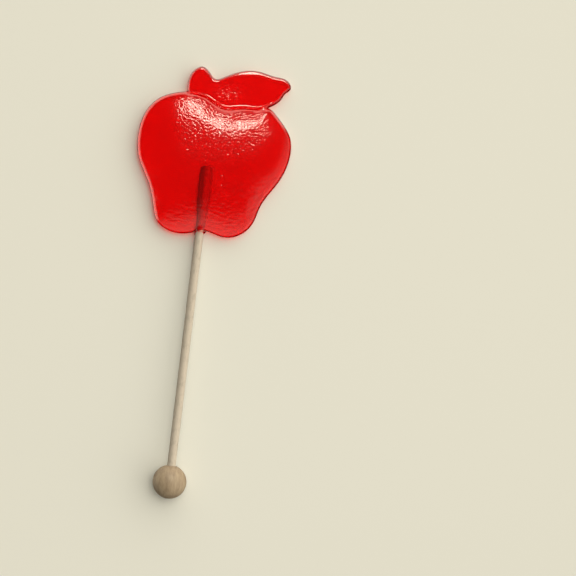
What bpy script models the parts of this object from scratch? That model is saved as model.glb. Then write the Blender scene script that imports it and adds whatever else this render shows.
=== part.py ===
"""An apple-shaped boiled-sugar lollipop, lying on its flat back with the moulded face up.

Metres, +Z up. +Y runs along the stick, from the wooden ball to the candy head. The origin is
the bottom centre of the whole lollipop, on the surface that it lies on. The candy head is one
casting: the apple's body, and its leaf and stalk in a lower relief behind a groove. The paper
stick ends blind in the head at one end and in a wooden ball at the other.
"""

import math

import bmesh
import bpy
import numpy as np
from mathutils import Matrix, Vector

MM = 0.001

# Driving dimensions
BALL_DIAMETER = 12.7 * MM
BALL_FLAT_DEPTH = 0.15 * MM  # how much of the ball the spot that it rests on takes away
STICK_DIAMETER = 3.6 * MM
STICK_LENGTH = 118.5 * MM
STICK_END_RADIUS = 0.2 * MM
BALL_HOLE_DEPTH = 4.8 * MM
FIT_GAP = 0.3 * MM  # between the stick and the bores that hold it
HEAD_FROM_BALL = 94.5 * MM  # ball's centre to the head's own datum, where the stick enters
STICK_RISE_AT_TIP = 2.35 * MM  # height of the stick's axis at its end inside the candy

# Relief of the casting, above the flat back
BACK_EDGE_RADIUS = 0.4 * MM
BODY_SIDE = 3.0 * MM
BODY_EDGE_RADIUS = 2.0 * MM
BODY_CROWN = 2.8 * MM
BODY_CENTRE = Vector((2.6 * MM, 25.5 * MM))
LEAF_SIDE = 3.3 * MM
LEAF_EDGE_RADIUS = 1.3 * MM

# Outlines in millimetres, from the head's datum on the stick's axis, anticlockwise
BODY_KNOTS_MM = (
    (1.6, 0.9), (4.6, 0.2), (10.2, -0.9), (15.8, 1.1), (19.9, 5.6), (21.8, 11.9), (27.5, 21.7),
    (31.2, 30.5), (30.5, 38.8), (26.1, 44.5), (21.9, 48.3), (18.1, 49.0), (11.5, 48.8),
    (4.6, 48.1), (-1.0, 50.8), (-6.6, 52.2), (-13.6, 51.3), (-20.2, 48.0), (-24.6, 42.3),
    (-26.3, 34.1), (-25.0, 25.8), (-20.4, 17.0), (-17.7, 9.3), (-15.2, 2.2), (-8.6, -1.0),
    (-2.0, -0.2),
)
LEAF_KNOTS_MM = (
    (4.6, 47.6), (11.5, 48.4), (18.4, 48.4), (21.7, 49.7), (25.3, 54.1), (28.7, 57.0),
    (27.8, 59.8), (23.1, 61.1), (15.6, 62.4), (8.2, 61.1), (3.2, 58.6), (0.3, 57.7),
    (-2.0, 59.1), (-5.2, 61.9), (-8.4, 60.0), (-9.6, 55.6), (-9.2, 51.8), (-4.6, 51.3),
    (0.2, 49.6),
)
# Slab that closes the back under the groove: left, right, near and far sides, and its height
GROOVE_SLAB_MM = (-8.6, 20.4, 45.0, 53.4)
GROOVE_SLAB_HEIGHT = 2.8 * MM

BODY_POINTS = 150
LEAF_POINTS = 104
EDGE_STEPS = 5
CROWN_STEPS = 6
ROUND_SIDES = 32
BALL_RINGS = 20


def smooth_loop(knots_mm, count):
    """Evenly spaced points on a closed curve of continuous curvature through the knots."""
    knots = np.array(knots_mm) * MM
    total = len(knots)
    following = np.roll(knots, -1, axis=0)
    chord = np.linalg.norm(following - knots, axis=1)
    slope = (following - knots) / chord[:, None]
    system = np.zeros((total, total))
    for i in range(total):
        system[i, i - 1] = chord[i - 1]
        system[i, i] = 2 * (chord[i - 1] + chord[i])
        system[i, (i + 1) % total] = chord[i]
    bend = np.linalg.solve(system, 6 * (slope - np.roll(slope, 1, axis=0)))
    bend_next = np.roll(bend, -1, axis=0)
    fine = []
    for i in range(total):
        for part in np.linspace(0, 1, 24, endpoint=False):
            left = 1 - part
            pull = (left**3 - left) * bend[i] + (part**3 - part) * bend_next[i]
            fine.append(left * knots[i] + part * following[i] + chord[i] ** 2 / 6 * pull)
    fine = np.array(fine + fine[:1])
    run = np.concatenate([[0], np.cumsum(np.linalg.norm(np.diff(fine, axis=0), axis=1))])
    stations = np.linspace(0, run[-1], count, endpoint=False)
    return np.column_stack([np.interp(stations, run, fine[:, axis]) for axis in (0, 1)])


def inset(loop, distance):
    """The closed, anticlockwise loop moved inwards by a distance, along its own normals."""
    along = np.roll(loop, -1, axis=0) - np.roll(loop, 1, axis=0)
    along /= np.linalg.norm(along, axis=1)[:, None]
    return loop + distance * np.column_stack([-along[:, 1], along[:, 0]])


def edge_rings(loop, side, radius, steepest_rise):
    """Rings up a wall: a rounded back edge, the wall, and a top edge rounded to a slope."""
    rings = [(inset(loop, BACK_EDGE_RADIUS), 0), (loop, BACK_EDGE_RADIUS)]
    for step in range(EDGE_STEPS + 1):
        turn = (math.pi / 2 - steepest_rise) * step / EDGE_STEPS
        rings.append((inset(loop, radius * (1 - math.cos(turn))), side + radius * math.sin(turn)))
    return rings


def body_rings():
    """Rings of the apple's body: its edge, then a crown that rises to the middle."""
    loop = smooth_loop(BODY_KNOTS_MM, BODY_POINTS)
    centre = np.array(BODY_CENTRE)
    reach = np.linalg.norm(loop - centre, axis=1).mean() - BODY_EDGE_RADIUS / 2
    rings = edge_rings(loop, BODY_SIDE, BODY_EDGE_RADIUS, math.atan(4 * BODY_CROWN / reach))
    shoulder, shoulder_height = rings[-1]
    for step in range(1, CROWN_STEPS):
        share = 1 - step / CROWN_STEPS
        height = shoulder_height + BODY_CROWN * (1 - share**4)
        rings.append((centre + (shoulder - centre) * share, height))
    return rings, shoulder_height + BODY_CROWN


def solid_from_rings(name, rings, peak=None):
    """A closed mesh object: the first ring's face extruded ring by ring, up to a peak or a flat top."""
    bm = bmesh.new()
    first, first_height = rings[0]
    back = bm.faces.new([bm.verts.new((x, y, first_height)) for x, y in first])
    top = back
    for loop, height in rings[1:]:
        grown = bmesh.ops.extrude_face_region(bm, geom=[top])["geom"]
        if top is not back:
            bmesh.ops.delete(bm, geom=[top], context="FACES_ONLY")
        top = next(item for item in grown if isinstance(item, bmesh.types.BMFace))
        for vert, (x, y) in zip(top.verts, loop):
            vert.co = (x, y, height)
    if peak:
        middle = bmesh.ops.poke(bm, faces=[top])["verts"][0]
        middle.co = peak
    bmesh.ops.recalc_face_normals(bm, faces=bm.faces)
    return finished_object(name, bm)


def finished_object(name, bm):
    """The bmesh as a smooth-shaded object with sharp edges kept."""
    mesh = bpy.data.meshes.new(name)
    bm.to_mesh(mesh)
    bm.free()
    mesh.shade_smooth()
    mesh.set_sharp_from_angle(angle=math.radians(40))
    made = bpy.data.objects.new(name, mesh)
    bpy.context.scene.collection.objects.link(made)
    return made


def material(name, colour, roughness, transmission=0.0):
    """A Principled material of one linear colour."""
    made = bpy.data.materials.new(name)
    made.use_nodes = True
    shader = made.node_tree.nodes["Principled BSDF"]
    shader.inputs["Base Color"].default_value = (*colour, 1.0)
    shader.inputs["Roughness"].default_value = roughness
    shader.inputs["Metallic"].default_value = 0.0
    shader.inputs["Transmission Weight"].default_value = transmission
    return made


def boolean(target, other, operation):
    """A Boolean of the target with another solid, which then only guides it."""
    step = target.modifiers.new(f"{operation.lower()} {other.name}", "BOOLEAN")
    step.operation = operation
    step.solver = "EXACT"
    step.object = other
    other.hide_render = True
    other.display_type = "WIRE"


def groove_slab():
    """The candy that runs on under the groove, from the body to the leaf and stalk."""
    left, right, near, far = (side * MM for side in GROOVE_SLAB_MM)
    bm = bmesh.new()
    bmesh.ops.create_cube(bm, size=1)
    bmesh.ops.scale(bm, vec=(right - left, far - near, GROOVE_SLAB_HEIGHT), verts=bm.verts)
    middle = ((left + right) / 2, (near + far) / 2, GROOVE_SLAB_HEIGHT / 2)
    bmesh.ops.translate(bm, vec=middle, verts=bm.verts)
    return finished_object("groove_slab", bm)


def rod(name, diameter, start, end, end_radius=0.0):
    """A round rod along Y between two distances, with its ends' edges rounded."""
    bm = bmesh.new()
    bmesh.ops.create_cone(
        bm, cap_ends=True, segments=ROUND_SIDES, depth=end - start,
        radius1=diameter / 2, radius2=diameter / 2,
        matrix=Matrix.Translation((0, (start + end) / 2, 0)) @ Matrix.Rotation(-math.pi / 2, 4, "X"),
    )
    if end_radius:
        rims = [edge for edge in bm.edges if any(len(face.verts) > 4 for face in edge.link_faces)]
        bmesh.ops.bevel(
            bm, geom=rims, offset=end_radius, segments=2, profile=0.5, affect="EDGES", material=-1
        )
    return finished_object(name, bm)


def ball(name, diameter, centre_height):
    """A ball with a small flat spot where it meets the ground."""
    bm = bmesh.new()
    bmesh.ops.create_uvsphere(
        bm, u_segments=ROUND_SIDES, v_segments=BALL_RINGS, radius=diameter / 2,
        matrix=Matrix.Translation((0, 0, centre_height)),
    )
    cut = bmesh.ops.bisect_plane(
        bm, geom=bm.verts[:] + bm.edges[:] + bm.faces[:], plane_co=(0, 0, 0),
        plane_no=(0, 0, -1), clear_outer=True,
    )
    rim = [item for item in cut["geom_cut"] if isinstance(item, bmesh.types.BMEdge)]
    bmesh.ops.edgeloop_fill(bm, edges=rim)
    return finished_object(name, bm)


def main():
    for old in list(bpy.data.objects):
        bpy.data.objects.remove(old, do_unlink=True)

    ball_height = BALL_DIAMETER / 2 - BALL_FLAT_DEPTH
    ball_end = BALL_DIAMETER / 2 - BALL_HOLE_DEPTH
    tip = ball_end + STICK_LENGTH
    tilt = math.asin((STICK_RISE_AT_TIP - ball_height) / tip)

    rings, peak_height = body_rings()
    leaf_loop = smooth_loop(LEAF_KNOTS_MM, LEAF_POINTS)
    peak = (BODY_CENTRE.x, BODY_CENTRE.y, peak_height)
    head = solid_from_rings("candy_head", rings, peak)
    leaf = solid_from_rings("leaf_and_stalk", edge_rings(leaf_loop, LEAF_SIDE, LEAF_EDGE_RADIUS, 0))
    slab = groove_slab()
    stick = rod("paper_stick", STICK_DIAMETER, ball_end, tip, STICK_END_RADIUS)
    bead = ball("wooden_ball", BALL_DIAMETER, ball_height)
    bore = rod("stick_bore", STICK_DIAMETER + 2 * FIT_GAP, ball_end - FIT_GAP, tip + FIT_GAP)

    head_points = np.vstack([rings[1][0], leaf_loop])
    left, right = head_points[:, 0].min(), head_points[:, 0].max()
    far_end = HEAD_FROM_BALL + head_points[:, 1].max()
    middle = Vector(((left + right) / 2, (far_end - BALL_DIAMETER / 2) / 2, 0))

    datum = bpy.data.objects.new("lollipop", None)
    bpy.context.scene.collection.objects.link(datum)
    datum.location = -middle
    for piece in (head, leaf, slab, stick, bead, bore):
        piece.parent = datum
    for piece in (head, leaf, slab):
        piece.location = (0, HEAD_FROM_BALL, 0)
    for piece in (stick, bore):
        piece.location = (0, 0, ball_height)
        piece.rotation_euler = (tilt, 0, 0)

    boolean(head, leaf, "UNION")
    boolean(head, slab, "UNION")
    boolean(head, bore, "DIFFERENCE")
    boolean(bead, bore, "DIFFERENCE")

    candy = material("red boiled sugar", (0.62, 0.004, 0.012), 0.08, transmission=0.8)
    for piece in (head, leaf, slab):
        piece.data.materials.append(candy)
    stick.data.materials.append(material("rolled paper", (0.68, 0.62, 0.50), 0.75))
    bead.data.materials.append(material("turned birch", (0.50, 0.38, 0.24), 0.55))


main()
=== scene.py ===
"""Looks for an apple-shaped boiled-sugar lollipop on a paper stick with a turned wooden ball.

Metres, +Z up. The lollipop lies on its flat back with the moulded face up, and +Y runs along
the stick from the ball to the candy. Four pieces stand for the three solids of the frame: the
sugar casting and the sugar that has crept out of it, the rolled paper stick, and the ball.
"""

import math

import bmesh
import bpy
import numpy as np
from mathutils import Matrix, Vector, noise
from mathutils.kdtree import KDTree


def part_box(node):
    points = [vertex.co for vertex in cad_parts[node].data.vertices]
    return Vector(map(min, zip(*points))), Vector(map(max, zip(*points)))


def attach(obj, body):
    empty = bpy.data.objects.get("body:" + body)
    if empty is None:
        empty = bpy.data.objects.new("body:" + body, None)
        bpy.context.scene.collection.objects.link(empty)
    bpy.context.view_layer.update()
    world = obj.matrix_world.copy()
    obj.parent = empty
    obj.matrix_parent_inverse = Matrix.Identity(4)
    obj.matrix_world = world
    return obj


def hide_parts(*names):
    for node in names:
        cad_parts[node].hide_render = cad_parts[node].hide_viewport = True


bl_info = {
    "name": "Boiled sugar lollipop",
    "version": (1, 0, 0),
    "blender": (4, 5, 0),
    "location": "View3D > Sidebar > Lollipop",
    "description": "Makes a cast sugar apple on a paper stick with a wooden ball, and its stage",
    "category": "Object",
}

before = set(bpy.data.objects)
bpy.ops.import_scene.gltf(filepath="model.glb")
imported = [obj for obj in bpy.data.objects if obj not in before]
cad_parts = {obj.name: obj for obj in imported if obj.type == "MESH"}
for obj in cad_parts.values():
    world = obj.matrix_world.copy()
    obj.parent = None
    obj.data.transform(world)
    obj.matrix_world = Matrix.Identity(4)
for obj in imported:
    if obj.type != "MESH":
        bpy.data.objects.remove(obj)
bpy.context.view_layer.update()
MM = 0.001

# Places read off the frame's solids
HEAD_LOW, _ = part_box("candy_head")
STICK_LOW, STICK_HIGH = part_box("paper_stick")
BALL_LOW, BALL_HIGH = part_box("wooden_ball")
STICK_DIAMETER = STICK_HIGH.x - STICK_LOW.x
BALL_DIAMETER = BALL_HIGH.x - BALL_LOW.x
STICK_X = (STICK_LOW.x + STICK_HIGH.x) / 2
STICK_END = STICK_HIGH.y - 0.9 * MM  # its soaked end shows this much short of the solid's
ENTRY = Vector((STICK_X, HEAD_LOW.y + 1.11 * MM))  # where the outlines have their origin
BALL_CENTRE = Vector((
    (BALL_LOW.x + BALL_HIGH.x) / 2, BALL_LOW.y + BALL_DIAMETER / 2, BALL_HIGH.z - BALL_DIAMETER / 2))

# The stick and the ball
HOLE_ROOM = 0.1 * MM  # under the stick's end, in the ball's hole
LAP_START = math.radians(200)  # where the paper's edge starts, round the stick
CUT_ROUND = 0.2 * MM  # worn off the rim of the cut end, in the ball
CUT_LENGTH = 0.3 * MM
FRAY_ROUND = 0.8 * MM  # worn off the soaked end
FRAY_LENGTH = 1.2 * MM
SOAK_START = 3.0 * MM  # from the candy's edge to where the stick starts to swell
SOAK_RUN = 14.0 * MM

# Outlines of the casting in millimetres, from where the stick enters, anticlockwise
BODY_KNOTS_MM = (
    (1.6, 0.5), (4.6, 0.1), (10.2, -1.2), (16.2, 0.6), (20.3, 5.4), (22.3, 11.7), (28.0, 21.4),
    (31.2, 30.4), (30.6, 38.8), (26.4, 44.6), (23.7, 47.4), (21.8, 48.7), (18.1, 48.5),
    (11.5, 48.0), (4.6, 47.3), (-1.0, 50.0), (-6.6, 51.7), (-13.6, 51.0), (-20.2, 47.9),
    (-24.5, 42.3), (-26.25, 34.1), (-25.3, 25.7), (-20.8, 16.8), (-18.1, 9.2), (-15.5, 2.0),
    (-8.6, -1.4), (-2.0, -0.6),
)
LEAF_KNOTS_MM = (
    (4.6, 46.8), (11.5, 47.6), (18.4, 47.9), (21.9, 49.5), (25.8, 52.9), (27.1, 55.2),
    (28.8, 57.1), (27.6, 59.6), (23.0, 60.8), (15.6, 62.2), (8.3, 60.9), (3.3, 58.5),
    (0.3, 57.6), (-1.7, 59.4), (-5.1, 61.7), (-8.1, 59.8), (-9.7, 55.6), (-9.2, 51.5),
    (-4.6, 50.6), (0.2, 48.8),
)

# The casting, with its places also from where the stick enters
CROWN_CENTRE = np.array((2.6, 25.5)) * MM
RING_CENTRE = np.array((2.6, 40.0)) * MM  # sees the whole outline
BACK_EDGE_RADIUS = 0.4 * MM
WALL_TOP = 0.3 * MM  # below the round edge, so that the wall ends in a ring of its own
LEAF_RISE = math.radians(1)
GROOVE_FLOOR = 2.8 * MM
GROOVE_WIDTH = 0.4 * MM
BODY_FILLET = 0.08 * MM
LEAF_FILLET = 0.05 * MM
GROOVE_FILLET = 0.15 * MM
NOTCH_FILLET = 1.3 * MM
# Painted shade: the casting's outer edge takes a darker tint for the shade at its outline; on the leaf
# it reaches this much further in
LEAF_SHADE_RIM_MM = 0.35  # how much wider the dark rim is on the leaf
SKIN = 0.3 * MM  # of sugar over the stick where it enters
SKIN_FILLET = 0.2 * MM
COLLAR_BITE = 0.1 * MM  # how far its thin end dips into the paper
COLLAR_SPREAD = 0.7 * MM  # how much wider it is at the wall
INSIDE_BOX = 0.02 * MM  # keeps the casting just inside the frame's box

# The low forms of its face, in millimetres
STALK_X_MM = 5.5
DIP_WIDTH_MM = 5.0
DIP_REACH_MM = 2.4
BROW_X_MM = 13.5  # where the leaf's edge falls the most
BROW_WIDTH_MM = 5.5
BROW_REACH_MM = 2.6
BEAD_INSET_MM = 0.83
BEAD_WIDTH_MM = 0.31
PIT_SHARE = 0.84  # of a cell's width that its pit takes
PIT_RADIUS = 0.46  # of a pit, in cells
RELIEF_ROOM = 0.02 * MM  # lowers the hammered face, so that its waves stay inside the box

# How finely the pieces are cut
SPLINE_STEPS = 40
BODY_POINTS = 900
LEAF_POINTS = 700
JOINED_POINTS = 2200
NOTCH_ROUNDS = 110
OUTLINE_POINTS = 540
EDGE_RINGS = 9
EDGE_TURN = math.radians(66)  # of the round edge that has rings of its own
FACE_RINGS = 160
RING_CROWDING = 0.75  # below 1, it draws the face's rings together towards its edge
COLLAR_SIDES = 48
COLLAR_RINGS = 16
ROUND_SIDES = 96
STICK_RINGS = 90
BALL_RINGS = 60
SHARP_FROM = math.radians(35)

# The photographer's table, in metres
FLOOR_HALF = 3.0
FLOOR_DROP = 0.1 * MM
LAMP_AIM = Vector((0.0, 0.055, 0.0))
LAMP_DISTANCE = 1.0
WINDOW_SIZE = 0.41
WINDOW_ROLL = math.radians(17)  # turns the window's lower edge, as its reflection shows
MAIN_SIZE = 0.53
CAMERA_PLACE = (33.5 * MM, 1.75 * MM, 0.9)  # straight above, to the right of the stick
CAMERA_TURN = math.radians(6.34)  # so that the stick leans as in the photo
CAMERA_LENS = 149.1  # with the sensor, 217 mm of the floor fill the frame
CAMERA_SENSOR = 36.0


def linear(hex_colour):
    """An sRGB hex colour as linear RGBA."""
    parts = [int(hex_colour[i:i + 2], 16) / 255 for i in (1, 3, 5)]
    return (*((c / 12.92 if c <= 0.04045 else ((c + 0.055) / 1.055) ** 2.4) for c in parts), 1.0)


class CandySettings(bpy.types.PropertyGroup):
    """Sizes and colours of the sugar casting."""

    body_side: bpy.props.FloatProperty(
        name="Body side", description="Height of the apple's upright side, below its round edge",
        default=3.0 * MM, unit="LENGTH")
    body_edge: bpy.props.FloatProperty(
        name="Body edge radius", description="Radius of the apple's rounded edge",
        default=2.0 * MM, unit="LENGTH")
    crown: bpy.props.FloatProperty(
        name="Crown", description="How far the apple's face rises from its edge to its middle",
        default=2.8 * MM, unit="LENGTH")
    leaf_side: bpy.props.FloatProperty(
        name="Leaf side", description="Height of the leaf's upright side, below its round edge",
        default=3.3 * MM, unit="LENGTH")
    leaf_edge: bpy.props.FloatProperty(
        name="Leaf edge radius", description="Radius of the leaf's rounded edge",
        default=1.3 * MM, unit="LENGTH")
    leaf_brow: bpy.props.FloatProperty(
        name="Leaf brow", description="How far the leaf's face falls towards its edge",
        default=0.35 * MM, unit="LENGTH")
    dip: bpy.props.FloatProperty(
        name="Dip", description="How far the apple's face dips towards its stalk",
        default=0.2 * MM, unit="LENGTH")
    bead: bpy.props.FloatProperty(
        name="Bead", description="Height of the bead that borders the leaf along the groove",
        default=0.145 * MM, unit="LENGTH")
    pit_width: bpy.props.FloatProperty(
        name="Pit width", description="Usual width of one pit of the hammered face",
        default=1.05 * MM, unit="LENGTH")
    pit_depth: bpy.props.FloatProperty(
        name="Pit depth", description="Depth of the deepest pits of the hammered face",
        default=0.07 * MM, unit="LENGTH")
    swell: bpy.props.FloatProperty(
        name="Swell", description="Height of the gentle waves between the pits",
        default=0.012 * MM, unit="LENGTH")
    stroke: bpy.props.FloatProperty(
        name="Stroke", description="Height of the drawn strokes that follow the top of the body",
        default=0.008 * MM, unit="LENGTH")
    ripple: bpy.props.FloatProperty(
        name="Ripple", description="Height of the long ripples on the lower half of the body",
        default=0.05 * MM, unit="LENGTH")
    creep: bpy.props.FloatProperty(
        name="Creep", description="How far the sugar has crept out along the sides of the stick",
        default=1.7 * MM, unit="LENGTH")
    groove: bpy.props.FloatProperty(
        name="Groove", description="How far the groove round the leaf cuts below its rounded edges",
        default=0.5 * MM, unit="LENGTH")
    red: bpy.props.FloatVectorProperty(
        name="Red", description="Tint of the sugar's surface", subtype="COLOR",
        size=4, default=linear("#fc0d1b"), min=0, max=1)
    # Painted shade: this darker tint along the casting's outer edge stands in for the shade at its
    # outline
    painted_shade_rim: bpy.props.FloatVectorProperty(
        name="Rim", description="Darker tint of the rim, which set first against the mould",
        subtype="COLOR", size=4, default=linear("#861818"), min=0, max=1)


class StickSettings(bpy.types.PropertyGroup):
    """Sizes and colours of the rolled paper stick."""

    diameter: bpy.props.FloatProperty(
        name="Diameter", description="Diameter of the tight roll", default=3.3 * MM, unit="LENGTH")
    lean: bpy.props.FloatProperty(
        name="Lean", description="How far the stick's soaked end stands to the side of its ball",
        default=0.9 * MM, unit="LENGTH")
    swollen: bpy.props.FloatProperty(
        name="Swollen width", description="Width of the soaked end inside the candy",
        default=4.8 * MM, unit="LENGTH")
    lap: bpy.props.FloatProperty(
        name="Lap", description="Thickness of the paper's edge along the outside of the roll",
        default=0.09 * MM, unit="LENGTH")
    twist: bpy.props.FloatProperty(
        name="Twist", description="How far the paper's edge turns round the stick",
        default=math.radians(70), subtype="ANGLE")
    paper: bpy.props.FloatVectorProperty(
        name="Paper", description="Colour of the dry paper", subtype="COLOR",
        size=4, default=linear("#b6ada1"), min=0, max=1)
    soaked: bpy.props.FloatVectorProperty(
        name="Soaked paper", description="Colour of the paper that the sugar has soaked",
        subtype="COLOR", size=4, default=linear("#dcbd9a"), min=0, max=1)
    # Stain and painted shade: the soaked paper's darkest tint, in its specks and laid over its left
    # side for the shade there
    stained_and_shaded: bpy.props.FloatVectorProperty(
        name="Stained paper", description="Colour of the soaked paper on its darkest side",
        subtype="COLOR", size=4, default=linear("#9c7b66"), min=0, max=1)


class BallSettings(bpy.types.PropertyGroup):
    """Sizes and colours of the turned wooden ball."""

    hole_gap: bpy.props.FloatProperty(
        name="Gap round the stick", description="Space between the stick and the drilled hole",
        default=0.06 * MM, unit="LENGTH")
    hole_chamfer: bpy.props.FloatProperty(
        name="Hole chamfer", description="Width of the broken edge of the drilled hole",
        default=0.35 * MM, unit="LENGTH")
    pale: bpy.props.FloatVectorProperty(
        name="Pale wood", description="Colour of the wood between its growth lines",
        subtype="COLOR", size=4, default=linear("#a8967e"), min=0, max=1)
    dark: bpy.props.FloatVectorProperty(
        name="Growth lines", description="Colour of the wood's growth lines",
        subtype="COLOR", size=4, default=linear("#8f7c67"), min=0, max=1)


class StageSettings(bpy.types.PropertyGroup):
    """Floor and light."""

    floor: bpy.props.FloatVectorProperty(
        name="Floor", description="Colour of the plain floor", subtype="COLOR",
        size=4, default=linear("#e2e4e0"), min=0, max=1)
    key: bpy.props.FloatProperty(
        name="Key light", description="Brightness of the window that the gloss shows", default=11.8,
        min=0)
    main: bpy.props.FloatProperty(
        name="Main light", description="Brightness of the soft box that lights the matt surfaces",
        default=3.7, min=0)
    room: bpy.props.FloatProperty(
        name="Room light", description="Brightness of the room's lit side", default=2.15, min=0)
    glow: bpy.props.FloatProperty(
        name="Glow", description="Brightness of the room as it shines through the sugar",
        default=0.74, min=0)
    fill: bpy.props.FloatProperty(
        name="Fill light", description="Brightness of the soft fill on the stick's side",
        default=0.62, min=0)
    corner: bpy.props.FloatProperty(
        name="Corner light", description="Brightness of the low fill on the right",
        default=0.55, min=0)
    wall: bpy.props.FloatProperty(
        name="Wall light", description="Brightness of the pale wall on the left and at the top",
        default=1.7, min=0)
    light: bpy.props.FloatVectorProperty(
        name="Light colour", description="Colour of all the light", subtype="COLOR",
        size=4, default=linear("#fff7e4"), min=0, max=1)


def spline_loop(knots_mm, count):
    """Evenly spaced points on a closed curve of continuous curvature through the knots."""
    knots = np.array(knots_mm) * MM
    total = len(knots)
    following = np.roll(knots, -1, axis=0)
    chord = np.linalg.norm(following - knots, axis=1)
    slope = (following - knots) / chord[:, None]
    system = np.zeros((total, total))
    for i in range(total):
        system[i, i - 1] = chord[i - 1]
        system[i, i] = 2 * (chord[i - 1] + chord[i])
        system[i, (i + 1) % total] = chord[i]
    bend = np.linalg.solve(system, 6 * (slope - np.roll(slope, 1, axis=0)))
    bend_next = np.roll(bend, -1, axis=0)
    fine = []
    for i in range(total):
        for part in np.linspace(0, 1, SPLINE_STEPS, endpoint=False):
            left = 1 - part
            pull = (left**3 - left) * bend[i] + (part**3 - part) * bend_next[i]
            fine.append(left * knots[i] + part * following[i] + chord[i] ** 2 / 6 * pull)
    return spaced(np.array(fine), count)


def spaced(loop, count, density=None):
    """The closed loop with its points spaced anew, closer together where density is higher."""
    closed = np.vstack([loop, loop[:1]])
    steps = np.linalg.norm(np.diff(closed, axis=0), axis=1)
    if density is not None:
        steps = steps * density
    run = np.concatenate([[0], np.cumsum(steps)])
    stations = np.linspace(0, run[-1], count, endpoint=False)
    return np.column_stack([np.interp(stations, run, closed[:, axis]) for axis in (0, 1)])


def inwards(loop):
    """Unit normals of the closed, anticlockwise loop that point to its inside."""
    along = np.roll(loop, -1, axis=0) - np.roll(loop, 1, axis=0)
    along /= np.linalg.norm(along, axis=1)[:, None]
    return np.column_stack([-along[:, 1], along[:, 0]])


def depth_inside(points, loop):
    """How far inside the anticlockwise loop each point lies; outside it is negative."""
    tree = KDTree(len(loop))
    for i, (x, y) in enumerate(loop):
        tree.insert((x, y, 0), i)
    tree.balance()
    nearest = np.array([tree.find((x, y, 0))[1] for x, y in points])
    distance = np.full(len(points), np.inf)
    inside = np.zeros(len(points), bool)
    for first in (nearest - 1, nearest):
        start = loop[first % len(loop)]
        step = loop[(first + 1) % len(loop)] - start
        away = points - start
        share = np.clip((away * step).sum(1) / (step**2).sum(1), 0, 1)
        gap = np.linalg.norm(away - share[:, None] * step, axis=1)
        closer = gap < distance
        distance = np.where(closer, gap, distance)
        inside = np.where(closer, step[:, 0] * away[:, 1] - step[:, 1] * away[:, 0] >= 0, inside)
    return np.where(inside, distance, -distance)


def round_both(first, second):
    """The outline round two overlapping loops, with the two notches between them filleted."""
    runs = []
    for loop, other in ((first, second), (second, first)):
        outside = depth_inside(loop, other) < 0
        start = next(i for i in range(len(loop)) if outside[i] and not outside[i - 1])
        runs.append(np.roll(loop, -start, axis=0)[np.roll(outside, -start)])
    notches = np.array([run[0] for run in runs])
    outline = spaced(np.vstack(runs), JOINED_POINTS)
    nearest = np.linalg.norm(outline[:, None] - notches[None], axis=2).min(1)
    weight = 0.5 * np.exp(-((nearest / NOTCH_FILLET) ** 2))[:, None]
    for _ in range(NOTCH_ROUNDS):
        middle = (np.roll(outline, 1, axis=0) + np.roll(outline, -1, axis=0)) / 2
        outline = outline + weight * (middle - outline)
    return outline


def soft_max(a, b, blend):
    """The larger of two heights, with a fillet where they cross."""
    return (a + b + np.sqrt((a - b) ** 2 + blend**2)) / 2


def smooth_step(value, start, end):
    """0 before start and 1 after end, with an easy run between."""
    t = np.clip((value - start) / (end - start), 0, 1)
    return t * t * (3 - 2 * t)


def round_edge(depth, side, radius, steepest_rise):
    """Height over a wall with a round edge that runs on as a slope, at a depth inside it."""
    turn_end = radius * (1 - math.sin(steepest_rise))
    arc = side + np.sqrt(np.maximum(radius**2 - (radius - np.clip(depth, 0, turn_end)) ** 2, 0))
    beyond = np.maximum(depth - turn_end, 0) * math.tan(steepest_rise)
    return arc + beyond + np.minimum(depth, 0) * 2


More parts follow.
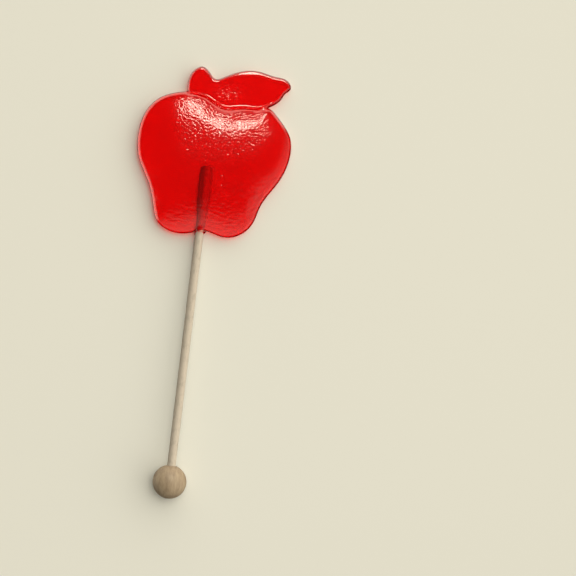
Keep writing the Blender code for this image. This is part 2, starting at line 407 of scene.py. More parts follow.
class Casting:
    """The heights of the sugar casting's moulded face, over its flat back."""

    def __init__(self, settings):
        self.settings = settings
        self.body = spline_loop(BODY_KNOTS_MM, BODY_POINTS)
        self.leaf = spline_loop(LEAF_KNOTS_MM, LEAF_POINTS)
        self.outline = round_both(self.body, self.leaf)
        reach = np.linalg.norm(self.body - CROWN_CENTRE, axis=1).mean() - settings.body_edge / 2
        self.rise = math.atan(4 * settings.crown / reach)
        self.shoulder = self.body + inwards(self.body) * settings.body_edge * (1 - math.sin(self.rise))

    def share_of_reach(self, points):
        """How far each point lies from the crown, where the shoulder is at 1."""
        away = points - CROWN_CENTRE
        spokes = self.shoulder - CROWN_CENTRE
        bearings = np.arctan2(spokes[:, 1], spokes[:, 0])
        order = np.argsort(bearings)
        reach = np.interp(
            np.arctan2(away[:, 1], away[:, 0]), bearings[order],
            np.linalg.norm(spokes, axis=1)[order], period=2 * math.pi)
        return np.linalg.norm(away, axis=1) / reach

    def body_face(self, points, body_depth):
        """Height of the apple: a round edge under a crown that dips towards the stalk."""
        s = self.settings
        edge = round_edge(body_depth, s.body_side, s.body_edge, self.rise)
        brim = s.body_side + s.body_edge * math.cos(self.rise)
        crown = brim + s.crown * (1 - self.share_of_reach(points) ** 4)
        from_stalk = np.hypot(
            (points[:, 0] / MM - STALK_X_MM) / DIP_WIDTH_MM, body_depth / MM / DIP_REACH_MM)
        crown = crown - s.dip * np.exp(-(from_stalk**2)) * (points[:, 1] > CROWN_CENTRE[1])
        return -soft_max(-edge, -crown, BODY_FILLET)

    def leaf_face(self, points, body_depth, leaf_depth):
        """Height of the leaf and stalk: flat, with a falling brow and a bead along the groove."""
        s = self.settings
        edge = round_edge(leaf_depth, s.leaf_side, s.leaf_edge, LEAF_RISE)
        by_groove = smooth_step(body_depth / MM, -3.5, -1.5)
        by_brow = 0.3 + 0.7 * np.exp(-((points[:, 0] / MM - BROW_X_MM) / BROW_WIDTH_MM) ** 2)
        fall = s.leaf_brow * (1 - by_groove) * by_brow
        near_edge = np.clip(1 - leaf_depth / (BROW_REACH_MM * MM), 0, 1)
        brow = s.leaf_side + s.leaf_edge - fall * near_edge**2
        bead = np.exp(-(((leaf_depth / MM - BEAD_INSET_MM) / BEAD_WIDTH_MM) ** 2))
        return -soft_max(-edge, -brow, LEAF_FILLET) + s.bead * by_groove * bead

    def face(self, points, body_depth, leaf_depth):
        """Height of the smooth face over each point, before it is hammered."""
        body = self.body_face(points, body_depth)
        leaf = self.leaf_face(points, body_depth, leaf_depth)
        across = (leaf_depth - body_depth) / 2
        groove = self.settings.groove * np.exp(-((across / GROOVE_WIDTH) ** 2))
        return np.maximum(soft_max(body, leaf, GROOVE_FILLET) - groove, GROOVE_FLOOR)


def pits(x, y, pitch, kept, seed):
    """Round pits over points in millimetres, from 0 to 1 deep; kept is the share that is there."""
    level = np.empty(len(x))
    for i, (px, py) in enumerate(zip(x / pitch, y / pitch)):
        far, centres = noise.voronoi(Vector((px * 0.8, py * 1.15, seed)))
        chance = noise.cell(centres[0] * 7.3) * 0.5 + 0.5
        strength = max(0.0, 1 - (1 - chance) / kept[i])
        level[i] = strength**0.4 * max(0.0, 1 - (far[0] / PIT_RADIUS) ** 2) ** 2
    return level


def waves(x, y, along, across, seed):
    """Smooth waves from about -1 to 1, with their lengths along X and Y in millimetres."""
    return np.array([
        noise.noise(Vector((px, py, seed))) * 1.6 for px, py in zip(x / along, y / across)])


def up_the_arc(x, y):
    """How far up the apple a place is, along arcs that follow its top."""
    return y - 0.022 * (x - 6) ** 2


def worked_shares(points, body_depth, leaf_depth):
    """How far each point lies on the apple, and how creased and how dented the face is there.

    The hammered part is the apple's upper half, short of its shoulders and edge, and the middle
    of the leaf. The runs are in millimetres.
    """
    x, y = points[:, 0] / MM, points[:, 1] / MM
    body_depth, leaf_depth = body_depth / MM, leaf_depth / MM
    on_body = smooth_step(body_depth, 0.8, 2.4) * smooth_step(-leaf_depth, 0.3, 1.6)
    upper_half = smooth_step(y - 0.012 * (x - 1) ** 2, 22, 30)
    off_shoulders = smooth_step(21 - abs(x - 5), 0, 9)
    off_edge = 0.35 + 0.65 * smooth_step(body_depth, 1.4, 3.0)
    worked = on_body * (0.08 + 0.92 * (upper_half * off_shoulders * off_edge))
    level = up_the_arc(x, y)
    leaf_middle = np.exp(-(((x - STALK_X_MM) / 6) ** 2) - ((y - 52.5) / 3.5) ** 2)
    on_leaf = leaf_middle * smooth_step(leaf_depth, 1.2, 2.0)
    creased = np.maximum(worked * (0.55 + 0.45 * smooth_step(level, 35, 38.5)), on_leaf)
    dented = np.maximum(worked * (1 - 0.55 * smooth_step(level, 37, 40)), 0.9 * on_leaf)
    return on_body, creased, dented


def sugar_relief(points, body_depth, shares, s):
    """How far the hammered face lies below the smooth one: pits, waves, strokes and ripples."""
    on_body, creased, dented = shares
    x, y = points[:, 0] / MM, points[:, 1] / MM
    body_depth = body_depth / MM
    kept = 0.6 + 0.4 * smooth_step(up_the_arc(x, y), 36.5, 40)
    pitch = s.pit_width / MM / PIT_SHARE
    dug = s.pit_depth * dented * np.maximum(
        pits(x, y, pitch, kept, 0.5), pits(x, y, pitch * 1.25, kept, 4.5))
    swell = s.swell * (0.3 * on_body + 0.7 * creased) * waves(x, y, 1.9, 1.4, 9.3)
    strokes = s.stroke * on_body * smooth_step(y, 38, 41) * waves(x, body_depth, 3.0, 0.8, 5.9)
    lower_half = on_body * smooth_step(30 - y, 0, 12)
    ripples = waves(x, y, 2.4, 0.9, 3.1) + 0.6 * waves(x, y, 1.4, 0.6, 7.7)
    return dug + swell + strokes + s.ripple * lower_half * ripples + RELIEF_ROOM


def face_rings(casting, outline, settings):
    """Rings of points over the round edge and then over the face, towards their centre."""
    normals = inwards(outline)
    difference = depth_inside(outline, casting.body) - depth_inside(outline, casting.leaf)
    on_body = smooth_step(difference / MM, -0.6, 0.6)
    radius = settings.leaf_edge * (1 - on_body) + settings.body_edge * on_body
    rings = []
    for step in range(EDGE_RINGS + 1):
        turn = EDGE_TURN * step / EDGE_RINGS
        rings.append(outline + normals * (radius * (1 - math.cos(turn)))[:, None])
    shoulder = rings[-1]
    for share in np.linspace(1, 0, FACE_RINGS + 1)[1:-1] ** RING_CROWDING:
        rings.append(RING_CENTRE + (shoulder - RING_CENTRE) * share)
    return rings


def fill_rings(bm, rings):
    """Extrudes a filled circle ring by ring through the rings' points, and returns its last face."""
    count = len(rings[0])
    bmesh.ops.create_circle(bm, cap_ends=True, segments=count, radius=1)
    bm.faces.ensure_lookup_table()
    back = top = bm.faces[0]
    for vert, place in zip(top.verts, rings[0]):
        vert.co = place
    for ring in rings[1:]:
        grown = bmesh.ops.extrude_face_region(bm, geom=[top])["geom"]
        if top is not back:
            bmesh.ops.delete(bm, geom=[top], context="FACES_ONLY")
        top = next(item for item in grown if isinstance(item, bmesh.types.BMFace))
        for vert, place in zip(top.verts, ring):
            vert.co = place
    return top


def stick_axis(lean):
    """The stick's two ends on its own axis, and the turn that lays +Z along it."""
    radius = STICK_DIAMETER / 2
    near = Vector((STICK_X, STICK_LOW.y, STICK_HIGH.z - radius))
    far = Vector((STICK_X + lean, STICK_END, STICK_LOW.z + radius))
    return near, far, (far - near).to_track_quat("Z", "Y").to_matrix().to_4x4()


def skin_over_stick(points, stick):
    """Height over each point of the sugar's skin that the stick lifts where it enters."""
    near, far, _ = stick_axis(stick.lean)
    share = (points[:, 1] + ENTRY.y - near.y) / (far.y - near.y)
    aside = points[:, 0] + ENTRY.x - (near.x + share * (far.x - near.x))
    radius = stick.diameter / 2 + SKIN
    return near.z + share * (far.z - near.z) + np.sqrt(np.maximum(radius**2 - aside**2, 0))


def collar(settings, stick):
    """Sugar that has crept out along the stick: furthest on both sides, and most on the left."""
    near, _, turn = stick_axis(stick.lean)
    radius = stick.diameter / 2
    angles = np.linspace(0, 2 * math.pi, COLLAR_SIDES, endpoint=False)
    reach = settings.creep * (0.08 + 0.92 * np.abs(np.cos(angles)) ** 6)
    reach = reach * np.where(np.cos(angles) > 0, 1.0, 0.5)
    wall = ENTRY.y - near.y
    rings = []
    for share in np.linspace(1.15, -0.5, COLLAR_RINGS):
        spread = COLLAR_SPREAD * np.clip(1 - share, 0, None) ** 0.75
        grip = radius - COLLAR_BITE + (COLLAR_BITE + spread) * (share < 1)
        rings.append(np.column_stack([
            grip * np.cos(angles), grip * np.sin(angles), wall - reach * share]))
    bm = bmesh.new()
    fill_rings(bm, rings)
    bmesh.ops.transform(bm, matrix=Matrix.Translation(near) @ turn, verts=bm.verts)
    return bm


def finished(name, bm, node, material):
    """The bmesh as a finished piece that stands for a solid of the frame."""
    bmesh.ops.recalc_face_normals(bm, faces=bm.faces)
    mesh = bpy.data.meshes.new(name)
    bm.to_mesh(mesh)
    bm.free()
    mesh.shade_smooth()
    mesh.set_sharp_from_angle(angle=SHARP_FROM)
    mesh.materials.append(material)
    made = bpy.data.objects.new(name, mesh)
    bpy.context.scene.collection.objects.link(made)
    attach(made, "root")
    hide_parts(node)


def add_node(tree, kind, sockets=(), **settings):
    """A shader node with its settings; each named socket takes a value or another's output."""
    made = tree.nodes.new(kind)
    for name, value in settings.items():
        setattr(made, name, value)
    for name, value in dict(sockets).items():
        if isinstance(value, bpy.types.NodeSocket):
            tree.links.new(value, made.inputs[name])
        else:
            made.inputs[name].default_value = value
    return made


def bare_material(name):
    """A named material with an empty node tree and its output."""
    made = bpy.data.materials.new(name)
    made.use_nodes = True
    made.node_tree.nodes.clear()
    return made, made.node_tree, made.node_tree.nodes.new("ShaderNodeOutputMaterial")


def boiled_sugar(settings):
    """Clear red boiled sugar, cast in an open mould: glass-like, tinted through and through.

    Its green is taken up within a millimetre and its blue within two, so it stays a pure red at
    any depth. The skin has a glassy gloss. Where it is hammered, creases run between cells of
    1.1 mm and dimples lie 1.2 mm apart, and it is a little duller there, so the window's
    reflection breaks up into soft glints.
    """
    made, tree, output = bare_material("Cast boiled sugar, clear red")
    crease_cell = 1.1111 * MM
    dimple_cell = 1.1765 * MM
    relief_depth = 0.032 * MM
    green_path = 1.0 * MM  # over which the green fades to a third
    place = add_node(tree, "ShaderNodeTexCoord")
    peel = add_node(tree, "ShaderNodeTexNoise", {
        "Vector": place.outputs["Object"], "Scale": 1 / crease_cell, "Detail": 1.0,
        "Roughness": 0.5})
    cells = add_node(tree, "ShaderNodeTexVoronoi", {
        "Vector": place.outputs["Object"], "Scale": 1 / crease_cell}, feature="DISTANCE_TO_EDGE")
    crease = add_node(tree, "ShaderNodeMapRange", {
        "Value": cells.outputs["Distance"], "From Max": 0.2}, interpolation_type="SMOOTHSTEP")
    creased = add_node(tree, "ShaderNodeAttribute", attribute_name="creased")
    pattern = add_node(tree, "ShaderNodeMath", {
        0: crease.outputs["Result"], 1: creased.outputs["Fac"]}, operation="MULTIPLY")
    height = add_node(tree, "ShaderNodeMath", {
        0: peel.outputs["Fac"], 1: 0.1, 2: pattern.outputs[0]}, operation="MULTIPLY_ADD")
    drops = add_node(tree, "ShaderNodeTexVoronoi", {
        "Vector": place.outputs["Object"], "Scale": 1 / dimple_cell})
    dimple = add_node(tree, "ShaderNodeMapRange", {
        "Value": drops.outputs["Distance"], "From Max": 0.42, "To Min": 1.0, "To Max": 0.0},
        interpolation_type="SMOOTHSTEP")
    chance = add_node(tree, "ShaderNodeSeparateColor", {"Color": drops.outputs["Color"]})
    picked = add_node(tree, "ShaderNodeMapRange", {
        "Value": chance.outputs["Red"], "From Min": 0.3, "From Max": 0.95})
    dented = add_node(tree, "ShaderNodeAttribute", attribute_name="dented")
    amount = add_node(tree, "ShaderNodeMath", {
        0: picked.outputs["Result"], 1: dented.outputs["Fac"]}, operation="MULTIPLY")
    dimpled = add_node(tree, "ShaderNodeMath", {
        0: dimple.outputs["Result"], 1: amount.outputs[0]}, operation="MULTIPLY")
    relief = add_node(tree, "ShaderNodeMath", {
        0: dimpled.outputs[0], 1: -2.4, 2: height.outputs[0]}, operation="MULTIPLY_ADD")
    bump = add_node(tree, "ShaderNodeBump", {
        "Height": relief.outputs[0], "Strength": 1.0, "Distance": relief_depth})
    # Painted shade: the sugar is tinted darker along its outer edge, for the shade at its outline
    painted_shade_rim = add_node(tree, "ShaderNodeAttribute", attribute_name="painted_shade_rim")
    tone = add_node(tree, "ShaderNodeMix", {
        "Factor": painted_shade_rim.outputs["Fac"], 6: settings.red, 7: settings.painted_shade_rim}, data_type="RGBA")
    worn = add_node(tree, "ShaderNodeMapRange", {
        "Value": dented.outputs["Fac"], "To Min": 0.1, "To Max": 0.185})
    sugar = add_node(tree, "ShaderNodeBsdfPrincipled", {
        "Base Color": tone.outputs[2], "Roughness": worn.outputs["Result"], "IOR": 1.5,
        "Transmission Weight": 1.0, "Coat Weight": 1.0, "Coat Roughness": 0.1, "Coat IOR": 1.5,
        "Normal": bump.outputs["Normal"], "Coat Normal": bump.outputs["Normal"]})
    # Light falls through it, tinted red, onto the stick and the floor
    lamp_ray = add_node(tree, "ShaderNodeLightPath")
    tint = add_node(tree, "ShaderNodeBsdfTransparent", {"Color": linear("#f62a34")})
    mixed = add_node(tree, "ShaderNodeMixShader", {
        0: lamp_ray.outputs["Is Shadow Ray"], 1: sugar.outputs["BSDF"], 2: tint.outputs["BSDF"]})
    inside = add_node(tree, "ShaderNodeVolumeAbsorption", {
        "Color": linear("#fd00bf"), "Density": 1 / green_path})
    tree.links.new(mixed.outputs[0], output.inputs["Surface"])
    tree.links.new(inside.outputs[0], output.inputs["Volume"])
    return made


def rolled_paper(settings):
    """Cream unglazed paper, rolled tight: dull, with fine fibres along the stick.

    Past where it enters the candy, the sugar has soaked it, which makes it darker and mottled,
    and its left side there is painted darker still, as painted shade.
    Its fibres are about 0.03 mm wide and too fine to show, so they are drawn 0.3 mm wide and
    2.6 mm long, with the paper's cloudiness over them and the stain's specks where it is soaked.
    """
    made, tree, output = bare_material("Rolled cream paper")
    fibre_width = 0.3125 * MM
    fibre_length = 2.6042 * MM
    cloud_width = 2.381 * MM
    speck_width = 0.909 * MM
    place = add_node(tree, "ShaderNodeTexCoord")
    fibres = add_node(tree, "ShaderNodeMapping", {
        "Vector": place.outputs["Object"], "Scale": (1.0, fibre_width / fibre_length, 1.0)})
    fibre = add_node(tree, "ShaderNodeTexNoise", {
        "Vector": fibres.outputs["Vector"], "Scale": 1 / fibre_width, "Detail": 3.0,
        "Roughness": 0.6})
    cloud = add_node(tree, "ShaderNodeTexNoise", {
        "Vector": place.outputs["Object"], "Scale": 1 / cloud_width, "Detail": 2.0,
        "Roughness": 0.5})
    fleck = add_node(tree, "ShaderNodeMath", {
        0: fibre.outputs["Fac"], 1: cloud.outputs["Fac"]}, operation="ADD")
    dry = add_node(tree, "ShaderNodeValToRGB", {"Fac": fleck.outputs[0]})
    tone = np.array(settings.paper[:3])
    for stop, share, shade in zip(dry.color_ramp.elements, (0.7, 1.0), (0.86, 1.08)):
        stop.position = share
        stop.color = (*np.minimum(tone * shade, 1), 1)
    along = add_node(tree, "ShaderNodeSeparateXYZ", {"Vector": place.outputs["Object"]})
    wet = add_node(tree, "ShaderNodeMapRange", {
        "Value": along.outputs["Y"], "From Min": ENTRY.y - 0.2 * MM, "From Max": ENTRY.y + 0.8 * MM})
    # Painted shade: the soaked paper grows darker towards its left side, for the shade away from the
    # light; the speckles add its real stain
    side = add_node(tree, "ShaderNodeMapRange", {
        "Value": along.outputs["X"], "From Min": STICK_X - 0.6 * MM, "From Max": STICK_X + 1.7 * MM,
        "To Min": 0.85, "To Max": 0.1})
    speckle = add_node(tree, "ShaderNodeTexNoise", {
        "Vector": place.outputs["Object"], "Scale": 1 / speck_width, "Detail": 2.0,
        "Roughness": 0.7})
    stain = add_node(tree, "ShaderNodeMath", {
        0: speckle.outputs["Fac"], 1: side.outputs["Result"]}, operation="ADD")
    stain_and_shade_step = add_node(tree, "ShaderNodeMapRange", {
        "Value": stain.outputs[0], "From Min": 0.6, "From Max": 1.15})
    wet_colour = add_node(tree, "ShaderNodeMix", {
        "Factor": stain_and_shade_step.outputs["Result"], 6: settings.soaked, 7: settings.stained_and_shaded},
        data_type="RGBA")
    colour = add_node(tree, "ShaderNodeMix", {
        "Factor": wet.outputs["Result"], 6: dry.outputs["Color"], 7: wet_colour.outputs[2]},
        data_type="RGBA")
    bump = add_node(tree, "ShaderNodeBump", {
        "Height": fibre.outputs["Fac"], "Strength": 0.5, "Distance": 0.03 * MM})
    paper = add_node(tree, "ShaderNodeBsdfPrincipled", {
        "Base Color": colour.outputs[2], "Roughness": 0.8, "IOR": 1.5,
        "Normal": bump.outputs["Normal"]})
    tree.links.new(paper.outputs[0], output.inputs["Surface"])
    return made


def turned_birch(settings):
    """Pale birch turned to a ball and sanded: satin, with faint growth lines and short pores.

    The growth lines are 1.25 mm apart. The pores are about 0.1 mm wide and too fine to show, so
    they are drawn 0.24 mm wide.
    """
    made, tree, output = bare_material("Turned birch, sanded")
    growth_line = 1.25 * MM
    pore_width = 0.2381 * MM
    place = add_node(tree, "ShaderNodeTexCoord")
    centred = add_node(tree, "ShaderNodeMapping", {
        "Vector": place.outputs["Object"], "Location": -BALL_CENTRE})
    grain = add_node(tree, "ShaderNodeMapping", {
        "Vector": centred.outputs["Vector"], "Rotation": (0.0, 0.0, math.radians(8)),
        "Scale": (1.0, 0.14, 0.6)})
    lines = add_node(tree, "ShaderNodeTexNoise", {
        "Vector": grain.outputs["Vector"], "Scale": 1 / growth_line, "Detail": 2.0,
        "Roughness": 0.55, "Distortion": 0.4})
    pores = add_node(tree, "ShaderNodeTexNoise", {
        "Vector": grain.outputs["Vector"], "Scale": 1 / pore_width, "Detail": 1.0})
    both = add_node(tree, "ShaderNodeMix", {
        "Factor": 0.3, 2: lines.outputs["Fac"], 3: pores.outputs["Fac"]}, data_type="FLOAT")
    colour = add_node(tree, "ShaderNodeValToRGB", {"Fac": both.outputs[0]})
    for stop, share, tone in zip(
            colour.color_ramp.elements, (0.36, 0.62), (settings.dark, settings.pale)):
        stop.position = share
        stop.color = tuple(tone)
    bump = add_node(tree, "ShaderNodeBump", {
        "Height": both.outputs[0], "Strength": 0.4, "Distance": 0.05 * MM})
    wood = add_node(tree, "ShaderNodeBsdfPrincipled", {
        "Base Color": colour.outputs["Color"], "Roughness": 0.55, "IOR": 1.5,
        "Normal": bump.outputs["Normal"]})
    tree.links.new(wood.outputs[0], output.inputs["Surface"])
    return made


class LOLLIPOP_OT_candy(bpy.types.Operator):
    """Makes the apple, its leaf and its stalk as one sugar casting"""

    bl_idname = "lollipop.candy"
    bl_label = "Sugar casting"

    def execute(self, context):
        settings = context.scene.lollipop_candy
        stick = context.scene.lollipop_stick
        casting = Casting(settings)
        # The outline's points lie closer together round the hammered upper half
        density = 1 + 0.7 * smooth_step(casting.outline[:, 1] / MM, 22, 40)
        outline = spaced(casting.outline, OUTLINE_POINTS, density)
        outline = outline + inwards(outline) * INSIDE_BOX
        wall = [outline + inwards(outline) * BACK_EDGE_RADIUS, outline, outline]
        rings = face_rings(casting, outline, settings)
        flat = np.vstack([*rings, RING_CENTRE[None]])
        body_depth = depth_inside(flat, casting.body)
        leaf_depth = depth_inside(flat, casting.leaf)
        shares = worked_shares(flat, body_depth, leaf_depth)
        relief = sugar_relief(flat, body_depth, shares, settings)
        heights = casting.face(flat, body_depth, leaf_depth) - relief - INSIDE_BOX / 2
        heights = soft_max(heights, skin_over_stick(flat, stick), SKIN_FILLET)
        back = np.zeros(len(outline))
        levels = list(heights[:-1].reshape(-1, len(outline)))
        levels = [back, back + BACK_EDGE_RADIUS, levels[0] - WALL_TOP] + levels
        places = [
            np.column_stack([ring + np.array(ENTRY), level])
            for ring, level in zip(wall + rings, levels)]
        bm = bmesh.new()
        top = fill_rings(bm, places)
        pole = bmesh.ops.poke(bm, faces=[top])["verts"][0]
        pole.co = (*(RING_CENTRE + np.array(ENTRY)), heights[-1])
        # Painted shade: the outermost half millimetre, a little more on the leaf, is marked for the
        # darker tint
        from_edge = depth_inside(flat, casting.outline) / MM
        on_leaf = smooth_step(-body_depth / MM, -0.3, 0.3)
        painted_shade_rim = 1 - smooth_step(from_edge - LEAF_SHADE_RIM_MM * on_leaf, 0.1, 0.5)
        for name, values in {"creased": shares[1], "dented": shares[2], "painted_shade_rim": painted_shade_rim}.items():
            layer = bm.verts.layers.float.new(name)
            for vert, value in zip(bm.verts[len(wall) * len(outline):], values):
                vert[layer] = value
        sugar = boiled_sugar(settings)
        finished("sugar_apple", bm, "candy_head", sugar)
        finished("sugar_collar", collar(settings, stick), "candy_head", sugar)
        return {"FINISHED"}


class LOLLIPOP_OT_stick(bpy.types.Operator):
    """Makes the rolled paper stick with the lap of its paper"""

    bl_idname = "lollipop.stick"
    bl_label = "Paper stick"

    def execute(self, context):
        settings = context.scene.lollipop_stick
        near, far, turn = stick_axis(settings.lean)
        length = (far - near).length
        angles = np.linspace(0, 2 * math.pi, ROUND_SIDES, endpoint=False)
        across = settings.diameter / 2 - settings.lap * angles / (2 * math.pi)
        cut_end = np.array([0.0, 0.15])
        even = 0.3 + (length / MM - 0.6) * np.linspace(0, 1, STICK_RINGS)
        frayed_end = length / MM - np.array([0.9, 0.6, 0.35, 0.15, 0.0])
        swells_from = HEAD_LOW.y + SOAK_START - near.y
        rings = []
        for station in np.sort(np.concatenate([cut_end, even, frayed_end])) * MM:
            cut = CUT_ROUND * (1 - min(1.0, station / CUT_LENGTH)) ** 2
            frayed = FRAY_ROUND * (1 - min(1.0, (length - station) / FRAY_LENGTH)) ** 2
            swelling = smooth_step(station, swells_from, swells_from + SOAK_RUN)
            wide = 1 + (settings.swollen / settings.diameter - 1) * swelling
            phase = angles + LAP_START + settings.twist * station / length
            reach = across - cut - frayed
            rings.append(np.column_stack([
                reach * np.cos(phase) * wide, reach * np.sin(phase),
                np.full(len(phase), station)]))
        bm = bmesh.new()
        fill_rings(bm, rings)
        bmesh.ops.transform(bm, matrix=Matrix.Translation(near) @ turn, verts=bm.verts)
        finished("paper_roll", bm, "paper_stick", rolled_paper(settings))
        return {"FINISHED"}


class LOLLIPOP_OT_ball(bpy.types.Operator):
    """Makes the turned ball with its drilled hole and the spot that it rests on"""

    bl_idname = "lollipop.ball"
    bl_label = "Wooden ball"

    def execute(self, context):
        settings = context.scene.lollipop_ball
        stick = context.scene.lollipop_stick
        near, _, turn = stick_axis(stick.lean)
        radius = BALL_DIAMETER / 2 - INSIDE_BOX
        hole = stick.diameter / 2 + settings.hole_gap
        bottom = (near - BALL_CENTRE).length - HOLE_ROOM
        brim = math.asin((hole + settings.hole_chamfer) / radius)
        chamfer_foot = radius * math.cos(brim) - settings.hole_chamfer
        profile = [(0.0, bottom), (hole, bottom), (hole, chamfer_foot)]
        profile += [
            (radius * math.sin(angle), radius * math.cos(angle))
            for angle in np.linspace(brim, math.pi, BALL_RINGS)]
        bm = bmesh.new()
        verts = [bm.verts.new((r, 0.0, z)) for r, z in profile]
        edges = [bm.edges.new(pair) for pair in zip(verts, verts[1:])]
        bmesh.ops.spin(
            bm, geom=verts + edges, cent=(0, 0, 0), axis=(0, 0, 1), angle=2 * math.pi,
            steps=ROUND_SIDES, use_merge=True)
        bmesh.ops.remove_doubles(bm, verts=bm.verts, dist=1e-6)
        bmesh.ops.transform(bm, matrix=Matrix.Translation(BALL_CENTRE) @ turn, verts=bm.verts)
        cut = bmesh.ops.bisect_plane(
            bm, geom=bm.verts[:] + bm.edges[:] + bm.faces[:], plane_co=(0, 0, 0),
            plane_no=(0, 0, -1), clear_outer=True)
        spot = [item for item in cut["geom_cut"] if isinstance(item, bmesh.types.BMEdge)]
        bmesh.ops.edgeloop_fill(bm, edges=spot)
        finished("turned_ball", bm, "wooden_ball", turned_birch(settings))
        return {"FINISHED"}


def matt_paint(settings):
    """Pale emulsion paint: dead matt, so that the floor stays plain under the lamps."""
    made, tree, output = bare_material("Matt emulsion paint, pale")
    paint = add_node(tree, "ShaderNodeBsdfDiffuse", {"Color": settings.floor})
    tree.links.new(paint.outputs[0], output.inputs["Surface"])
    return made


def lay_floor(settings):
    """The plain floor, just under the lollipop."""
    bm = bmesh.new()
    bmesh.ops.create_grid(bm, x_segments=1, y_segments=1, size=FLOOR_HALF)
    bmesh.ops.translate(bm, vec=(0, 0, -FLOOR_DROP), verts=bm.verts)
    mesh = bpy.data.meshes.new("floor")
    bm.to_mesh(mesh)
    bm.free()
    mesh.materials.append(matt_paint(settings))
    floor = bpy.data.objects.new("floor", mesh)
    bpy.context.scene.collection.objects.link(floor)
    floor.visible_glossy = False  # so that the gloss shows the room down to the casting's rim


def light_room(settings):
    """The room's soft light: what the gloss shows, what shines through the sugar, and the rest.

    The gloss shows a pale wall on the left and at the top, which stops short of the ceiling and
    the floor, and two soft fills at the stick's end and on the right. Matt surfaces are lit from
    the right side of the room, and the sugar has an even glow behind it.
    """
    world = bpy.data.worlds.new("Studio")
    world.use_nodes = True
    bpy.context.scene.world = world
    tree = world.node_tree
    tree.nodes.clear()
    place = add_node(tree, "ShaderNodeTexCoord")
    towards = add_node(tree, "ShaderNodeSeparateXYZ", {"Vector": place.outputs["Generated"]})
    lit = []
    for way, start, end, low, high in (
            ((-0.6, 0.8, 0.0), -0.02, 0.18, 0.0, settings.wall),
            ((0.2, -1.0, 0.0), 0.12, 0.80, 0.03, settings.fill),
            ((1.0, 0.0, 0.0), 0.50, 0.85, 0.0, settings.corner),
            ((0.8, 0.6, 0.0), -0.35, 0.90, 0.0, settings.room)):
        ahead = add_node(tree, "ShaderNodeVectorMath", {
            0: place.outputs["Generated"], 1: Vector(way).normalized()}, operation="DOT_PRODUCT")
        share = add_node(tree, "ShaderNodeMapRange", {
            "Value": ahead.outputs["Value"], "From Min": start, "From Max": end,
            "To Min": low, "To Max": high}, interpolation_type="SMOOTHSTEP")
        lit.append(share.outputs["Result"])
    wall_side, stick_side, right_side, room_side = lit
    height = add_node(tree, "ShaderNodeMapRange", {
        "Value": towards.outputs["Z"], "From Min": -1.0})
    band = add_node(tree, "ShaderNodeValToRGB", {"Fac": height.outputs["Result"]})
    for share, level in ((0.12, 0), (0.25, 1), (0.73, 1), (0.81, 0)):
        stop = band.color_ramp.elements.new(share)
        stop.color = (level, level, level, 1)
    for index in (0, -1):
        band.color_ramp.elements[index].color = (0, 0, 0, 1)
    wall = add_node(tree, "ShaderNodeMath", {
        0: band.outputs["Color"], 1: wall_side}, operation="MULTIPLY")
    above = add_node(tree, "ShaderNodeMapRange", {
        "Value": towards.outputs["Z"], "From Min": -0.2, "From Max": 0.25},
        interpolation_type="SMOOTHSTEP")
    fill = add_node(tree, "ShaderNodeMath", {0: stick_side, 1: right_side}, operation="ADD")
    gloss = add_node(tree, "ShaderNodeMath", {
        0: fill.outputs[0], 1: above.outputs[0], 2: wall.outputs[0]}, operation="MULTIPLY_ADD")
    ray = add_node(tree, "ShaderNodeLightPath")
    seen = add_node(tree, "ShaderNodeMix", {
        "Factor": ray.outputs["Is Glossy Ray"], 2: room_side, 3: gloss.outputs[0]},
        data_type="FLOAT")
    strength = add_node(tree, "ShaderNodeMix", {
        "Factor": ray.outputs["Is Transmission Ray"], 2: seen.outputs[0], 3: settings.glow},
        data_type="FLOAT")
    glow = add_node(tree, "ShaderNodeBackground", {
        "Color": settings.light, "Strength": strength.outputs[0]})
    output = add_node(tree, "ShaderNodeOutputWorld")
    tree.links.new(glow.outputs[0], output.inputs["Surface"])


def soft_box(name, towards, size, roll, brightness, colour, in_gloss):
    """A square lamp that looks at the candy, and shows in gloss or on matt surfaces, not both."""
    lamp = bpy.data.lights.new(name, "AREA")
    lamp.shape = "SQUARE"
    lamp.size = size
    lamp.color = colour[:3]
    lamp.energy = brightness * math.pi * size**2
    made = bpy.data.objects.new(name, lamp)
    direction = Vector(towards).normalized()
    made.location = LAMP_AIM + direction * LAMP_DISTANCE
    facing = direction.to_track_quat("Z", "Y").to_matrix()
    made.rotation_euler = (facing @ Matrix.Rotation(roll, 3, "Z")).to_euler()
    made.visible_camera = False
    made.visible_transmission = False
    made.visible_glossy = in_gloss
    made.visible_diffuse = not in_gloss
    bpy.context.scene.collection.objects.link(made)


def set_camera():
    """The camera looks straight down, from where the photo was taken."""
    camera = bpy.data.objects.new("camera", bpy.data.cameras.new("camera"))
    camera.data.sensor_width = CAMERA_SENSOR
    camera.data.lens = CAMERA_LENS
    camera.location = CAMERA_PLACE
    camera.rotation_euler = (0.0, 0.0, CAMERA_TURN)
    bpy.context.scene.collection.objects.link(camera)
    bpy.context.scene.camera = camera


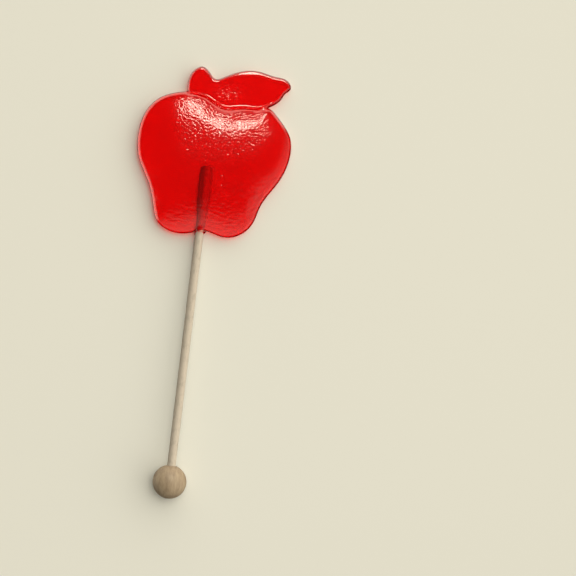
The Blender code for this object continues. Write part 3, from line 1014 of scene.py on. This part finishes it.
class LOLLIPOP_OT_stage(bpy.types.Operator):
    """Makes the plain floor, the soft light and the camera"""

    bl_idname = "lollipop.stage"
    bl_label = "Stage"

    def execute(self, context):
        settings = context.scene.lollipop_stage
        lay_floor(settings)
        light_room(settings)
        soft_box("window", (0.055, 0.536, 0.842), WINDOW_SIZE, WINDOW_ROLL, settings.key,
                 settings.light, in_gloss=True)
        soft_box("main", (0.12, 0.08, 0.98), MAIN_SIZE, 0.0, settings.main,
                 settings.light, in_gloss=False)
        set_camera()
        context.scene.view_settings.view_transform = "Standard"
        return {"FINISHED"}


class LOLLIPOP_PT_panel(bpy.types.Panel):
    """Lists the pieces of the lollipop and their settings"""

    bl_idname = "LOLLIPOP_PT_panel"
    bl_label = "Lollipop"
    bl_space_type = "VIEW_3D"
    bl_region_type = "UI"
    bl_category = "Lollipop"

    def draw(self, context):
        for step, settings in PIECES:
            box = self.layout.box()
            box.operator(step.bl_idname)
            group = getattr(context.scene, settings)
            for name in group.bl_rna.properties.keys():
                if name not in ("rna_type", "name"):
                    box.prop(group, name)


PIECES = (
    (LOLLIPOP_OT_candy, "lollipop_candy"),
    (LOLLIPOP_OT_stick, "lollipop_stick"),
    (LOLLIPOP_OT_ball, "lollipop_ball"),
    (LOLLIPOP_OT_stage, "lollipop_stage"),
)
GROUPS = (CandySettings, StickSettings, BallSettings, StageSettings)


def register():
    for group in GROUPS:
        bpy.utils.register_class(group)
    for (step, settings), group in zip(PIECES, GROUPS):
        setattr(bpy.types.Scene, settings, bpy.props.PointerProperty(type=group))
        bpy.utils.register_class(step)
    bpy.utils.register_class(LOLLIPOP_PT_panel)


def unregister():
    bpy.utils.unregister_class(LOLLIPOP_PT_panel)
    for (step, settings), group in zip(PIECES, GROUPS):
        bpy.utils.unregister_class(step)
        delattr(bpy.types.Scene, settings)
        bpy.utils.unregister_class(group)


def main():
    register()
    bpy.ops.lollipop.candy()
    bpy.ops.lollipop.stick()
    bpy.ops.lollipop.ball()
    bpy.ops.lollipop.stage()
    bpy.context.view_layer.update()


if __name__ == "__main__":
    main()
